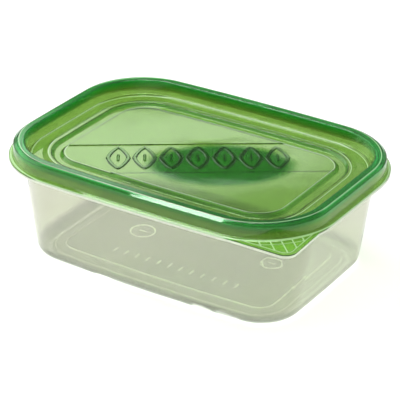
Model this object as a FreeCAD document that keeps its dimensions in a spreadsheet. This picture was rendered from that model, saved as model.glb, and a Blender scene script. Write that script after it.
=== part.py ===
import FreeCAD, Part
import math
import os
import re

import Sketcher
from FreeCAD import Vector

# Food tub with a snap lid. Millimetres, +Z up, origin in the middle of the standing
# plane, long side along X. "Inset" is the distance inwards from the outermost edge of the
# rim, "depth" the distance down from the top of the lid.

SIZES = [
    # the whole container
    ("length", 180.0, "over the rim, along X"),
    ("width", 130.7, "over the rim, along Y"),
    ("height", 61.1, "table to the top of the lid"),
    ("corner_radius", 39.5, "outermost edge of the rim"),
    ("long_bow", 2.8, "how far each long side bows out"),
    ("short_bow", 1.05, "how far each short side bows out"),
    ("lid_wall", 0.6, "sheet of the lid"),
    ("tub_wall", 0.7, "wall of the tub"),
    ("snap_gap", 0.25, "between the tub's rim and the skirt round it"),
    ("seat_gap", 0.15, "between the tub's flange and the lip above it"),
    ("crown_gap", 0.3, "between the tub's rim and the crown above it"),
    # lid: lip, skirt and crown, which snap over the tub's rim
    ("lip_width", 2.0, "edge of the lip to the foot of the skirt"),
    ("lip_rise", 0.8, "the lip slopes up to the skirt by this"),
    ("lip_depth", 7.6, "depth of the lip's upper edge"),
    ("lip_round", 0.7, "radius between lip and skirt"),
    ("skirt_lean", 0.4, "the skirt leans in by this over its height"),
    ("shoulder_width", 1.8, "bevel between skirt and crown, across"),
    ("shoulder_drop", 1.4, "the same, down"),
    ("shoulder_round", 0.8, "radius between the bevel and the crown"),
    ("crown_inset", 8.1, "inner edge of the flat crown"),
    ("crown_round", 1.0, "radius of that edge"),
    # lid: plug wall, ledge at its foot and channel floor
    ("ledge_inset", 9.8, "foot of the plug wall"),
    ("ledge_depth", 7.1, "depth of the ledge there"),
    ("ledge_width", 0.8, "width of the ledge"),
    ("ledge_fall", 0.2, "its slope down, over that width"),
    ("ledge_round", 0.5, "radius at the foot of the plug wall"),
    ("floor_inset", 11.0, "where the channel floor begins"),
    ("floor_depth", 8.0, "depth of the channel floor"),
    ("floor_round", 0.4, "radius where the floor begins"),
    ("hem", 1.0, "how far a swept section runs on into the flat beside it"),
    ("lap", 0.5, "how far that flat runs under it"),
    # lid: stacking ridge, groove, raised panel
    ("ridge_foot", 15.4, "inset where the ridge starts to rise"),
    ("ridge_outer", 17.7, "outer edge of its top"),
    ("ridge_inner", 19.7, "inner edge of its top"),
    ("ridge_rise", 0.75, "ridge above the channel floor"),
    ("ridge_corner", 25.8, "corner radius of the ridge's outer edge"),
    ("groove_inset", 21.2, "where the groove floor begins"),
    ("groove_drop", 0.9, "groove below the channel floor"),
    ("panel_foot", 25.2, "foot of the panel's wall"),
    ("panel_inset", 27.2, "edge of the raised panel"),
    ("panel_depth", 6.95, "depth of the raised panel"),
    ("panel_corner", 13.8, "corner radius of the raised panel"),
    ("panel_hem", 1.2, "the panel wall's run on into the panel"),
    ("soft_edge", 0.7, "radius of the ridge's and panel's upper edges"),
    ("band_turn", 34.9, "degrees between the sunk band and the long side"),
    ("band_half", 15.6, "half the width of the sunk band"),
    ("band_drop", 0.45, "band below the panel"),
    # pull tab on the +X -Y corner of the lid, with its twin on the tub's flange
    ("tab_long_start", 36.0, "where it leaves the long side, back from the end"),
    ("tab_short_start", 31.5, "where it leaves the short side, likewise"),
    ("tab_long_inset", 1.25, "its corner inside the long side"),
    ("tab_short_inset", 0.5, "its corner inside the short side"),
    ("tab_root", 0.25, "how far the plate runs into the lip"),
    ("tab_round", 6.0, "radius of its corner"),
    ("rib_width", 0.6, "grip ribs"),
    ("rib_rise", 0.3, "grip ribs above the tab"),
    ("rib_pitch", 5.2, "grip ribs apart"),
    ("rib_margin", 2.9, "from the ends of the ribs to the tab's edge"),
    ("middle_rib_margin", 2.03, "the same for the middle rib"),
    ("rib_root", 0.6, "from the ribs to the edge of the lip"),
    # tub
    ("junction_depth", 10.6, "depth where the plain wall meets the rim"),
    ("wall_inset", 7.3, "outside of the wall at that depth"),
    ("wall_draft", 8.3, "degrees, taper of the walls"),
    ("rim_outer_round", 1.9, "outer radius of the rim's top"),
    ("rim_inner_round", 1.2, "inner radius of the rim's top"),
    ("flange_round", 0.5, "radius between flange and rim"),
    ("curl_height", 0.95, "turned-down edge of the flange"),
    ("foot_corner", 21.4, "corner radius of the walls at the table"),
    ("foot_round", 5.5, "radius between wall and base"),
    ("foot_height", 6.5, "where the plain wall begins"),
    ("ring_inset", 7.0, "inner edge of the standing ring, from the walls"),
    ("ring_round", 1.0, "radius of that edge"),
    ("step_run", 1.3, "slope from the ring up to the apron, across"),
    ("step_rise", 0.9, "the same, up"),
    ("step_round", 1.2, "radius at the top of the slope"),
    ("apron_inset", 13.2, "inner edge of the apron"),
    ("apron_rise", 1.1, "apron above the table there"),
    ("apron_round", 0.8, "radius of that edge"),
    ("base_inset", 14.2, "edge of the base panel"),
    ("base_rise", 1.9, "base panel above the table"),
    ("base_round", 1.0, "radius of its edge"),
]

doc = FreeCAD.newDocument("snap_lid_tub")
sheet = doc.addObject("Spreadsheet::Sheet", "Sizes")
for row, (alias, size, note) in enumerate(SIZES, start=1):
    sheet.set(f"A{row}", note)
    sheet.set(f"B{row}", str(size))
    sheet.setAlias(f"B{row}", alias)
doc.recompute()

NAMES = {alias for alias, _, _ in SIZES}


def linked(formula):
    """The formula with each size in it read from the spreadsheet."""
    return re.sub(
        "[a-z_]+", lambda m: "Sizes." + m.group() if m.group() in NAMES else m.group(), formula
    )


def number(formula):
    """What the formula comes to."""
    found = sheet.evalExpression(linked(formula))
    return float(getattr(found, "Value", found))


def constrain(sketch, *parts):
    return sketch.addConstraint(Sketcher.Constraint(*parts))


def drive(sketch, name, formula, *parts):
    """Adds a dimension to the sketch and binds it to the formula."""
    sketch.renameConstraint(constrain(sketch, *parts), name)
    sketch.setExpression("Constraints." + name, linked(formula))


def new_sketch(body, name, role, level=None):
    """An empty sketch on one of the body's origin planes, raised to the level."""
    sketch = body.newObject("Sketcher::SketchObject", name)
    plane = next(f for f in body.Origin.OriginFeatures if f.Role == role)
    sketch.AttachmentSupport = (plane, [""])
    sketch.MapMode = "FlatFace"
    if level is not None:
        sketch.setExpression("AttachmentOffset.Base.z", linked(level))
    return sketch


START, END, MIDDLE = 1, 2, 3
X_AXIS, Y_AXIS, ORIGIN = -1, -2, (-1, 1)
UP = Vector(0, 0, 1)

# --- outlines: rounded rectangles with bowed sides, eight tangent arcs each -----------

HALF_LENGTH = "(length / 2)"
HALF_WIDTH = "(width / 2)"
SHRINK = "(wall_inset + (height - junction_depth) * tan(wall_draft * 1 deg))"

# families of parallel outlines: half length, half width and corner radius at inset 0
RIM = (HALF_LENGTH, HALF_WIDTH, "corner_radius")
RIDGE = (HALF_LENGTH, HALF_WIDTH, "(ridge_corner + ridge_outer)")
PANEL = (HALF_LENGTH, HALF_WIDTH, "(panel_corner + panel_inset)")
FOOT = (f"({HALF_LENGTH} - {SHRINK})", f"({HALF_WIDTH} - {SHRINK})", "foot_corner")


def bowed_arcs(family):
    """Radii, centres and tangent angles of a family's arcs at inset 0."""
    half_length, half_width, corner = (number(part) for part in family)
    long_bow, short_bow = number("long_bow"), number("short_bow")
    long_radius = (half_length**2 + long_bow**2) / (2 * long_bow)
    short_radius = (half_width**2 + short_bow**2) / (2 * short_bow)
    north = Vector(0, half_width - long_radius, 0)
    east = Vector(half_length - short_radius, 0, 0)
    # the corner's centre is where circles about the other two centres meet
    from_north, from_east = long_radius - corner, short_radius - corner
    along = east - north
    apart = along.Length
    along.normalize()
    step = (from_north**2 - from_east**2 + apart**2) / (2 * apart)
    across = math.sqrt(from_north**2 - step**2)
    centre = north + along * step + Vector(along.y, -along.x, 0) * across
    turn_north = math.atan2(centre.y - north.y, centre.x - north.x)
    turn_east = math.atan2(centre.y - east.y, centre.x - east.x)
    return long_radius, short_radius, corner, north, east, centre, turn_north, turn_east


def add_outline(sketch, family, inset, label, split=False, guide=False):
    """Adds one outline. A split one starts and ends at the middle of the +X side, a guide is
    construction geometry. Returns the arc round the +X -Y corner."""
    long_radius, short_radius, corner, north, east, centre, turn_n, turn_e = bowed_arcs(family)
    off = number(inset)
    full = 2 * math.pi

    def arc(middle, radius, start, end):
        return Part.ArcOfCircle(Part.Circle(middle, UP, radius - off), start, end)

    def corner_at(x_sign, y_sign):
        return Vector(x_sign * centre.x, y_sign * centre.y, 0)

    arcs = [
        arc(east, short_radius, 0 if split else -turn_e, turn_e),
        arc(centre, corner, turn_e, turn_n),
        arc(north, long_radius, turn_n, math.pi - turn_n),
        arc(corner_at(-1, 1), corner, math.pi - turn_n, math.pi - turn_e),
        arc(-east, short_radius, math.pi - turn_e, math.pi + turn_e),
        arc(corner_at(-1, -1), corner, math.pi + turn_e, math.pi + turn_n),
        arc(-north, long_radius, math.pi + turn_n, full - turn_n),
        arc(corner_at(1, -1), corner, full - turn_n, full - turn_e),
    ]
    if split:
        arcs.append(arc(east, short_radius, full - turn_e, full))
    first = sketch.addGeometry(arcs, guide)[0]
    e, ne, n, nw, w, sw, s, se = ring = range(first, first + 8)
    joints = list(zip(ring, [*ring[1:], e]))
    if split:
        last = first + 8
        joints[-1] = (se, last)
        constrain(sketch, "Coincident", last, END, e, START)
        constrain(sketch, "Coincident", last, MIDDLE, e, MIDDLE)
        constrain(sketch, "PointOnObject", e, START, X_AXIS)
    for a, b in joints:
        constrain(sketch, "Tangent", a, END, b, START)
    for a, axis in ((e, X_AXIS), (w, X_AXIS), (n, Y_AXIS), (s, Y_AXIS)):
        constrain(sketch, "PointOnObject", a, MIDDLE, axis)
    for a, b in ((e, w), (n, s), (ne, nw), (ne, sw), (ne, se)):
        constrain(sketch, "Equal", a, b)

    half_length, half_width, corner_name = family
    long_formula = f"({half_length}^2 + long_bow^2) / (2 * long_bow)"
    short_formula = f"({half_width}^2 + short_bow^2) / (2 * short_bow)"
    to_long, to_short = f"{long_formula} - {half_width}", f"{short_formula} - {half_length}"
    drive(sketch, label + "_east", to_short, "DistanceX", e, MIDDLE, *ORIGIN, -east.x)
    drive(sketch, label + "_west", to_short, "DistanceX", *ORIGIN, w, MIDDLE, -east.x)
    drive(sketch, label + "_north", to_long, "DistanceY", n, MIDDLE, *ORIGIN, -north.y)
    drive(sketch, label + "_south", to_long, "DistanceY", *ORIGIN, s, MIDDLE, -north.y)
    for a, name, formula, radius in (
        (n, "_long", long_formula, long_radius),
        (e, "_short", short_formula, short_radius),
        (ne, "_corner", corner_name, corner),
    ):
        drive(sketch, label + name, f"{formula} - ({inset})", "Radius", a, radius - off)
    return se


def flat(body, name, level, thickness, *outlines):
    """A pad of one outline, or of the ring between two; outlines are (family, inset)."""
    sketch = new_sketch(body, name + "_outline", "XY_Plane", level)
    for count, (family, inset) in enumerate(outlines):
        add_outline(sketch, family, inset, f"edge{count}")
    return padded(body, name, sketch, thickness)


def padded(body, name, sketch, thickness, kind="Pad"):
    doc.recompute()
    feature = body.newObject("PartDesign::" + kind, name)
    feature.Profile = sketch
    feature.setExpression("Length", linked(thickness))
    doc.recompute()
    return feature


# --- polygons with rounded corners ----------------------------------------------------


def add_loop(sketch, points, radii):
    """Closed loop of lines through the points, rounded where a radius is given. Returns the
    lines, the arcs by corner and, by corner, what stands for the corner's own point."""
    count = len(points)
    ahead = [(points[(k + 1) % count] - points[k]).normalize() for k in range(count)]
    reach = [radii[k] * math.tan(ahead[k - 1].getAngle(ahead[k]) / 2) for k in range(count)]
    lines = [
        Part.LineSegment(
            points[k] + ahead[k] * reach[k],
            points[(k + 1) % count] - ahead[k] * reach[(k + 1) % count],
        )
        for k in range(count)
    ]
    first = sketch.addGeometry(lines, False)[0]
    arcs, places = {}, {}
    for k in range(count):
        before, after = first + (k - 1) % count, first + k
        if not radii[k]:
            constrain(sketch, "Coincident", before, END, after, START)
            places[k] = (after, START)
            continue
        inwards = (ahead[k] - ahead[k - 1]).normalize()
        half_open = (math.pi - ahead[k - 1].getAngle(ahead[k])) / 2
        centre = points[k] + inwards * (radii[k] / math.sin(half_open))
        a, b = lines[k - 1].EndPoint - centre, lines[k].StartPoint - centre
        angles = [math.atan2(a.y, a.x), math.atan2(b.y, b.x)]
        near, far = START, END
        if ahead[k - 1].cross(ahead[k]).z < 0:
            angles.reverse()
            near, far = END, START
        circle = Part.Circle(centre, UP, radii[k])
        arcs[k] = sketch.addGeometry(Part.ArcOfCircle(circle, *angles), False)
        constrain(sketch, "Tangent", before, END, arcs[k], near)
        constrain(sketch, "Tangent", arcs[k], far, after, START)
    return [first + k for k in range(count)], arcs, places


def corner_point(sketch, lines, k, point):
    """Construction point where the lines on both sides of a rounded corner would meet."""
    place = sketch.addGeometry(Part.Point(point), True)
    constrain(sketch, "PointOnObject", place, START, lines[k - 1])
    constrain(sketch, "PointOnObject", place, START, lines[k])
    return place, START


def place_at(sketch, place, name, x, y):
    """Dimensions from the origin to a point; x and y are formulas."""
    for axis, formula in (("X", x), ("Y", y)):
        value = number(formula)
        if abs(value) < 1e-9:
            constrain(sketch, "PointOnObject", *place, Y_AXIS if axis == "X" else X_AXIS)
        elif value > 0:
            drive(sketch, name + axis, formula, "Distance" + axis, *ORIGIN, *place, value)
        else:
            flipped = f"-({formula})"
            drive(sketch, name + axis, flipped, "Distance" + axis, *place, *ORIGIN, -value)


def add_polygon(sketch, corners, label):
    """A closed polygon; corners are (x formula, y formula)."""
    points = [Vector(number(x), number(y), 0) for x, y in corners]
    _, _, places = add_loop(sketch, points, [0] * len(points))
    for k, (x, y) in enumerate(corners):
        place_at(sketch, places[k], f"{label}{k}", x, y)


# --- formed sheet: one skin and a wall of even thickness, swept round an outline ------


def add_strip(sketch, skin, wall, side, caps):
    """Section of a formed sheet. The skin's corners are (x, z, radius or None), formulas all;
    the other face runs parallel to it, to its left (side 1) or right (side -1). The caps
    are "Vertical" or "Horizontal", first at the skin's start and then at its end."""
    thick = number(wall)
    points = [Vector(number(x), number(z), 0) for x, z, _ in skin]
    radii = [number(r) if r else 0 for _, _, r in skin]
    last = len(skin) - 1
    ahead = [(points[k + 1] - points[k]).normalize() for k in range(last)]
    normal = [Vector(-u.y, u.x, 0) * side for u in ahead]

    def capped(point, way, n, cap):
        """Where the offset of the line from the point along way meets the cap's line."""
        across = Vector(0, 1, 0) if cap == "Vertical" else Vector(1, 0, 0)
        return point + across * (thick / across.dot(n))

    other = [capped(points[0], ahead[0], normal[0], caps[0])]
    other_radii = [0]
    for k in range(1, last):
        together = normal[k - 1] + normal[k]
        other.append(points[k] + together * (thick / (1 + normal[k - 1].dot(normal[k]))))
        bends_to_wall = ahead[k - 1].cross(ahead[k]).z * side > 0
        radius = radii[k] - thick if bends_to_wall else radii[k] + thick
        other_radii.append(radius if radii[k] and radius > thick / 2 else 0)
    other.append(capped(points[last], ahead[-1], normal[-1], caps[1]))
    other_radii.append(0)

    loop = points + other[::-1]
    lines, arcs, places = add_loop(sketch, loop, radii + other_radii[::-1])
    for k, (x, z, radius) in enumerate(skin):
        place = places.get(k) or corner_point(sketch, lines, k, points[k])
        place_at(sketch, place, f"skin{k}", x, z)
        if k in arcs:
            drive(sketch, f"bend{k}", radius, "Radius", arcs[k], radii[k])
        twin = 2 * last + 1 - k  # the same corner on the other face
        if twin in arcs:
            sign = "-" if other_radii[k] < radii[k] else "+"
            formula = f"{radius} {sign} {wall}"
            drive(sketch, f"back{k}", formula, "Radius", arcs[twin], other_radii[k])
        if k < last:
            back_line = lines[twin - 1]
            constrain(sketch, "Parallel", lines[k], back_line)
            drive(sketch, f"wall{k}", wall, "Distance", *place, back_line, thick)
    constrain(sketch, caps[1], lines[last])
    constrain(sketch, caps[0], lines[-1])


def formed(body, name, family, skin, wall, side, caps=("Vertical", "Vertical")):
    """A sheet section swept once round the family's outline; skin is (inset, z, radius)."""
    path = new_sketch(body, name + "_path", "XY_Plane")
    add_outline(path, family, "0", "path", split=True)
    section = new_sketch(body, name + "_section", "XZ_Plane")
    add_strip(section, [(f"{family[0]} - ({d})", z, r) for d, z, r in skin], wall, side, caps)
    doc.recompute()
    pipe = body.newObject("PartDesign::AdditivePipe", name)
    pipe.Profile = section
    pipe.Spine = (path, [f"Edge{k + 1}" for k in range(len(path.Shape.Edges))])
    doc.recompute()
    return pipe


# --- pull tab -------------------------------------------------------------------------

TAB_X = f"({HALF_LENGTH} - tab_short_inset)"
TAB_Y = f"({HALF_WIDTH} - tab_long_inset)"


def tab(body, name, level, thickness):
    """Flat plate from the lip's edge out to a square, rounded corner."""
    sketch = new_sketch(body, name + "_outline", "XY_Plane", level)
    rim = add_outline(sketch, RIM, "tab_root", "rim", guide=True)
    *_, centre, _, _ = bowed_arcs(RIM)
    hub = Vector(centre.x, -centre.y, 0)
    radius = number("corner_radius - tab_root")
    x = number(f"{HALF_LENGTH} - tab_long_start")
    y = -number(f"{HALF_WIDTH} - tab_short_start")
    on_long = Vector(x, hub.y - math.sqrt(radius**2 - (x - hub.x) ** 2), 0)
    on_short = Vector(hub.x + math.sqrt(radius**2 - (y - hub.y) ** 2), y, 0)
    tip = Vector(number(TAB_X), -number(TAB_Y), 0)

    rounding = number("tab_round")
    to_tip, from_tip = (tip - on_long).normalize(), (on_short - tip).normalize()
    reach = rounding * math.tan(to_tip.getAngle(from_tip) / 2)
    a, b = tip - to_tip * reach, tip + from_tip * reach
    middle = a + Vector(-to_tip.y, to_tip.x, 0) * rounding
    turn = [math.atan2((p - middle).y, (p - middle).x) for p in (a, b)]
    root_turn = [math.atan2((p - hub).y, (p - hub).x) for p in (on_long, on_short)]
    long_side, bend, short_side, root = sketch.addGeometry(
        [
            Part.LineSegment(on_long, a),
            Part.ArcOfCircle(Part.Circle(middle, UP, rounding), *turn),
            Part.LineSegment(b, on_short),
            Part.ArcOfCircle(Part.Circle(hub, UP, radius), *root_turn),
        ],
        False,
    )
    constrain(sketch, "Tangent", long_side, END, bend, START)
    constrain(sketch, "Tangent", bend, END, short_side, START)
    constrain(sketch, "Coincident", short_side, END, root, END)
    constrain(sketch, "Coincident", root, START, long_side, START)
    constrain(sketch, "Coincident", root, MIDDLE, rim, MIDDLE)
    constrain(sketch, "Equal", root, rim)
    drive(sketch, "rounding", "tab_round", "Radius", bend, rounding)
    corner = sketch.addGeometry(Part.Point(tip), True)
    constrain(sketch, "PointOnObject", corner, START, long_side)
    constrain(sketch, "PointOnObject", corner, START, short_side)
    place_at(sketch, (corner, START), "tip", TAB_X, f"-{TAB_Y}")
    starts = f"{HALF_LENGTH} - tab_long_start", f"{HALF_WIDTH} - tab_short_start"
    drive(sketch, "long_start", starts[0], "DistanceX", *ORIGIN, root, START, x)
    drive(sketch, "short_start", starts[1], "DistanceY", root, END, *ORIGIN, -y)
    return padded(body, name, sketch, thickness)


# --- lid ------------------------------------------------------------------------------

LIP_TOP = "(height - lip_depth)"
LIP_SLOPE = "(lip_rise / lip_width)"
LIP_UNDER = f"({LIP_TOP} - lid_wall * sqrt(1 + {LIP_SLOPE}^2))"  # at the lip's edge
FLOOR = "(height - floor_depth)"
GROOVE = f"({FLOOR} - groove_drop)"
PANEL_TOP = "(height - panel_depth)"
BAND_TOP = f"({PANEL_TOP} - band_drop)"
BAND_EDGE = (  # the panel's wall at the level of the band
    "(panel_inset - band_drop * (panel_inset - panel_foot)"
    " / (floor_depth + groove_drop - panel_depth))"
)
TURN = "(band_turn * 1 deg)"

lid = doc.addObject("PartDesign::Body", "lid")
lid.Label = "lid"

# the sunk band, cut from a plate that runs under the whole panel
flat(lid, "band_plate", f"{BAND_TOP} - lid_wall", "lid_wall", (PANEL, BAND_EDGE))
LIMIT_X = f"({HALF_LENGTH} - (groove_inset + panel_foot) / 2)"
LIMIT_Y = f"({HALF_WIDTH} - (groove_inset + panel_foot) / 2)"


def band_edge_x(y, half):
    """Where the band's upper edge line, half away from its middle, crosses a level of y."""
    return f"(({y}) * cos({TURN}) - ({half})) / sin({TURN})"


def band_edge_y(x, half):
    return f"(({half}) + ({x}) * sin({TURN})) / cos({TURN})"


fields = new_sketch(lid, "field_outlines", "XY_Plane", BAND_TOP)
FIELD_HALF = "(band_half + lid_wall)"
for label in ("upper", "lower"):
    corners = [
        (f"-{LIMIT_X}", f"{LIMIT_Y}"),
        (f"-{LIMIT_X}", band_edge_y(f"-{LIMIT_X}", FIELD_HALF)),
        (band_edge_x(LIMIT_Y, FIELD_HALF), f"{LIMIT_Y}"),
    ]
    if label == "lower":
        corners = [(f"-({x})", f"-({y})") for x, y in corners]
    add_polygon(fields, corners, label)
padded(lid, "fields_freed", fields, "lid_wall", "Pocket")

formed(
    lid,
    "panel_wall",
    PANEL,
    [
        ("panel_foot - hem", GROOVE, None),
        ("panel_foot", GROOVE, "soft_edge"),
        ("panel_inset", PANEL_TOP, None),
        ("panel_inset + panel_hem", PANEL_TOP, None),
    ],
    "lid_wall",
    1,
)
flat(lid, "panel", f"{PANEL_TOP} - lid_wall", "lid_wall", (PANEL, "panel_inset + panel_hem - lap"))

band = new_sketch(lid, "band_outline", "XY_Plane", PANEL_TOP)
half_band = [
    (f"-{LIMIT_X}", f"-{LIMIT_Y}"),
    (f"-({band_edge_x(LIMIT_Y, 'band_half')})", f"-{LIMIT_Y}"),
    (LIMIT_X, f"-({band_edge_y('-' + LIMIT_X, 'band_half')})"),
]
add_polygon(band, half_band + [(f"-({x})", f"-({y})") for x, y in half_band], "band")
padded(lid, "sunk_band", band, "band_drop", "Pocket")

flat(
    lid,
    "groove_floor",
    f"{GROOVE} - lid_wall",
    "lid_wall",
    (RIDGE, "groove_inset + hem - lap"),
    (PANEL, "panel_foot - hem + lap"),
)
formed(
    lid,
    "stacking_ridge",
    RIDGE,
    [
        ("ridge_foot - hem", FLOOR, None),
        ("ridge_foot", FLOOR, "soft_edge"),
        ("ridge_outer", f"{FLOOR} + ridge_rise", "soft_edge"),
        ("ridge_inner", f"{FLOOR} + ridge_rise", "soft_edge"),
        ("groove_inset", GROOVE, "soft_edge"),
        ("groove_inset + hem", GROOVE, None),
    ],
    "lid_wall",
    1,
)
flat(
    lid,
    "channel_floor",
    f"{FLOOR} - lid_wall",
    "lid_wall",
    (RIM, "floor_inset + hem - lap"),
    (RIDGE, "ridge_foot - hem + lap"),
)
formed(
    lid,
    "snap_rim",
    RIM,
    [
        ("0", LIP_TOP, None),
        ("lip_width", f"{LIP_TOP} + lip_rise", "lip_round"),
        ("lip_width + skirt_lean", "height - shoulder_drop", None),
        ("lip_width + skirt_lean + shoulder_width", "height", "shoulder_round"),
        ("crown_inset", "height", "crown_round"),
        ("ledge_inset", "height - ledge_depth", "ledge_round"),
        ("ledge_inset + ledge_width", "height - ledge_depth - ledge_fall", None),
        ("floor_inset", FLOOR, "floor_round"),
        ("floor_inset + hem", FLOOR, None),
    ],
    "lid_wall",
    1,
)
TAB_UNDER = f"({LIP_UNDER} + tab_root * {LIP_SLOPE})"
tab(lid, "pull_tab", TAB_UNDER, "lid_wall")

# ribs are drawn in a frame at the tab's corner with x pointing outwards on the diagonal
ribs = new_sketch(lid, "rib_outlines", "XY_Plane", f"{TAB_UNDER} + lid_wall")
ribs.AttachmentOffset = FreeCAD.Placement(Vector(), FreeCAD.Rotation(UP, -45))
ribs.setExpression("AttachmentOffset.Base.x", linked(TAB_X))
ribs.setExpression("AttachmentOffset.Base.y", linked(f"-{TAB_Y}"))
REACH = (  # from the lip to the tab's corner, on the diagonal
    "(corner_radius * (sqrt(2) - 1) - (tab_long_inset + tab_short_inset) / sqrt(2) + rib_root)"
)
ROUNDED_OFF = 0.42  # what the rounding takes off that corner, in radii
for k in range(-2, 3):
    middle = f"({k} * rib_pitch)"
    inner = f"-({REACH} + {middle}^2 / (2 * corner_radius))"
    outer = f"-({abs(k)} * rib_pitch + rib_margin)"
    if k == 0:
        outer = f"-(tab_round * {ROUNDED_OFF} + middle_rib_margin)"
    low, high = f"{middle} - rib_width / 2", f"{middle} + rib_width / 2"
    add_polygon(ribs, [(inner, low), (outer, low), (outer, high), (inner, high)], f"rib{k + 2}_")
padded(lid, "grip_ribs", ribs, "rib_rise")

# --- tub ------------------------------------------------------------------------------

JUNCTION = "(height - junction_depth)"
DRAFT = "(wall_draft * 1 deg)"
ACROSS = f"(tub_wall / cos({DRAFT}))"  # the wall measured level
FLANGE = f"({LIP_UNDER} - seat_gap)"
RIM_FOOT = "(lip_width + lid_wall + snap_gap)"
RIM_TOP = "(height - lid_wall - crown_gap)"
WALL_START = f"(foot_height * tan({DRAFT}))"

tub = doc.addObject("PartDesign::Body", "tub")
tub.Label = "tub"
flat(tub, "base_panel", "base_rise", "tub_wall", (FOOT, "base_inset + hem"))
formed(
    tub,
    "foot",
    FOOT,
    [
        (f"-{WALL_START}", "foot_height", None),
        ("0", "0", "foot_round"),
        ("ring_inset", "0", "ring_round"),
        ("ring_inset + step_run", "step_rise", "step_round"),
        ("apron_inset", "apron_rise", "apron_round"),
        ("base_inset", "base_rise", "base_round"),
        ("base_inset + hem + lap", "base_rise", None),
    ],
    "tub_wall",
    -1,
    ("Horizontal", "Vertical"),
)
rings = []
for name, level, family, outer in (
    ("wall_bottom", "foot_height", FOOT, f"-{WALL_START}"),
    ("wall_top", JUNCTION, RIM, "wall_inset"),
):
    ring = new_sketch(tub, name, "XY_Plane", level)
    add_outline(ring, family, outer, "outside")
    add_outline(ring, family, f"{outer} + {ACROSS}", "inside")
    rings.append(ring)
doc.recompute()
walls = tub.newObject("PartDesign::AdditiveLoft", "drafted_walls")
walls.Profile = rings[0]
walls.Sections = [rings[1]]
walls.Ruled = True
doc.recompute()

INNER = f"(wall_inset + {ACROSS})"
formed(
    tub,
    "rolled_rim",
    RIM,
    [
        ("0", f"{FLANGE} - curl_height", None),
        ("0", FLANGE, None),
        (RIM_FOOT, f"{FLANGE} + {RIM_FOOT} * {LIP_SLOPE}", "flange_round"),
        (f"{RIM_FOOT} + skirt_lean", RIM_TOP, "rim_outer_round"),
        (f"{INNER} - ({RIM_TOP} - {JUNCTION}) * tan({DRAFT})", RIM_TOP, "rim_inner_round"),
        (INNER, JUNCTION, None),
    ],
    "tub_wall",
    1,
    ("Horizontal", "Horizontal"),
)
tab(
    tub,
    "flange_tab",
    f"{FLANGE} - curl_height",
    f"curl_height + tab_root * {LIP_SLOPE}",
)

# --- checks and export ----------------------------------------------------------------

doc.recompute()
broken = [o.Label for o in doc.Objects if {"Invalid", "Error"} & set(o.State)]
sketches = [o for o in doc.Objects if o.isDerivedFrom("Sketcher::SketchObject")]
loose = [o.Label for o in sketches if not o.FullyConstrained]
if broken or loose:
    raise RuntimeError(f"failed: {broken}, not fully constrained: {loose}")
os.makedirs("parts", exist_ok=True)
for body in (tub, lid):
    shape = body.Shape
    if shape.isNull() or not shape.isValid() or len(shape.Solids) != 1:
        raise RuntimeError(f"{body.Label} is not one sound solid")
    shape.exportStep(f"parts/{body.Label}.step")
    print(f"{body.Label}: {shape.Volume / 1000:.2f} cm3")
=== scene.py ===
"""Finishes the packed food tub: a clear tub and a translucent green lid, both moulded in
polypropylene, on white paper under soft studio light. Lengths are in metres."""

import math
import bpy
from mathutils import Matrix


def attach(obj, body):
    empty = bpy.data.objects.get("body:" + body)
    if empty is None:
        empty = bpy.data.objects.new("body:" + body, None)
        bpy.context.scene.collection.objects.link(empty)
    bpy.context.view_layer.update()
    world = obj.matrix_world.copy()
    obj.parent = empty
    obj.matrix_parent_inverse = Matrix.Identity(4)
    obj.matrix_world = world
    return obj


bl_info = {
    "name": "Snap-lid Food Tub",
    "version": (1, 0, 0),
    "blender": (4, 5, 0),
    "location": "3D View > Sidebar > Food Tub",
    "description": "Finishes the tub and its lid and sets up the studio",
    "category": "Object",
}

import bmesh
import bpy
from bpy.props import FloatProperty, FloatVectorProperty, IntProperty, PointerProperty
from mathutils import Matrix, Vector

MM = 0.001

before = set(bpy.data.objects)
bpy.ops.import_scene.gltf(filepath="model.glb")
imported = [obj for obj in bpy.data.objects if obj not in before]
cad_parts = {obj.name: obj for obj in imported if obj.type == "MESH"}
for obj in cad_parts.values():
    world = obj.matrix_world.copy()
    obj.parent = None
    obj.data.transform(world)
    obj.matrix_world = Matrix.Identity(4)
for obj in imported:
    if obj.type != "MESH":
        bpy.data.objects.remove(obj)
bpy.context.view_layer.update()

# --- places on the object that the pieces share ---------------------------------------

HALF_LENGTH, HALF_WIDTH = 90.0 * MM, 65.35 * MM  # of the lid, to the edge of its lip
# outlines at inset 0: half length, half width, corner radius
RIM = (HALF_LENGTH, HALF_WIDTH, 39.5 * MM)
RIDGE = (HALF_LENGTH, HALF_WIDTH, 43.5 * MM)
PANEL = (HALF_LENGTH, HALF_WIDTH, 41.0 * MM)
FOOT = (75.33 * MM, 50.68 * MM, 21.4 * MM)
LONG_BOW = 2.8 * MM  # how far the long sides bow out
SHORT_BOW = 1.05 * MM

# arrises, where painted highlight lines are drawn as frosted lines: outline, inset from it, half
# the width of the line
TUB_ARRISES = (
    (RIM, 0.0, 1.6 * MM),  # the rolled rim
    (FOOT, 8.2 * MM, 0.12 * MM),  # top of the slope from the standing ring
    (FOOT, 14.0 * MM, 0.34 * MM),  # edge of the base panel
)
LID_ARRISES = (
    (RIM, 0.0, 0.4 * MM),  # outer edge of the lip
    (RIM, 4.2 * MM, 0.35 * MM),  # shoulder to crown
    (RIM, 10.7 * MM, 0.25 * MM),  # ledge at the foot of the plug wall
    (RIDGE, 17.8 * MM, 0.25 * MM),  # outer edge of the stacking ridge
    (PANEL, 27.2 * MM, 0.25 * MM),  # edge of the raised panel
)
ALL_OVER = ((FOOT, 0.0, 1.0),)  # a line so wide that it frosts the whole piece

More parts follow.
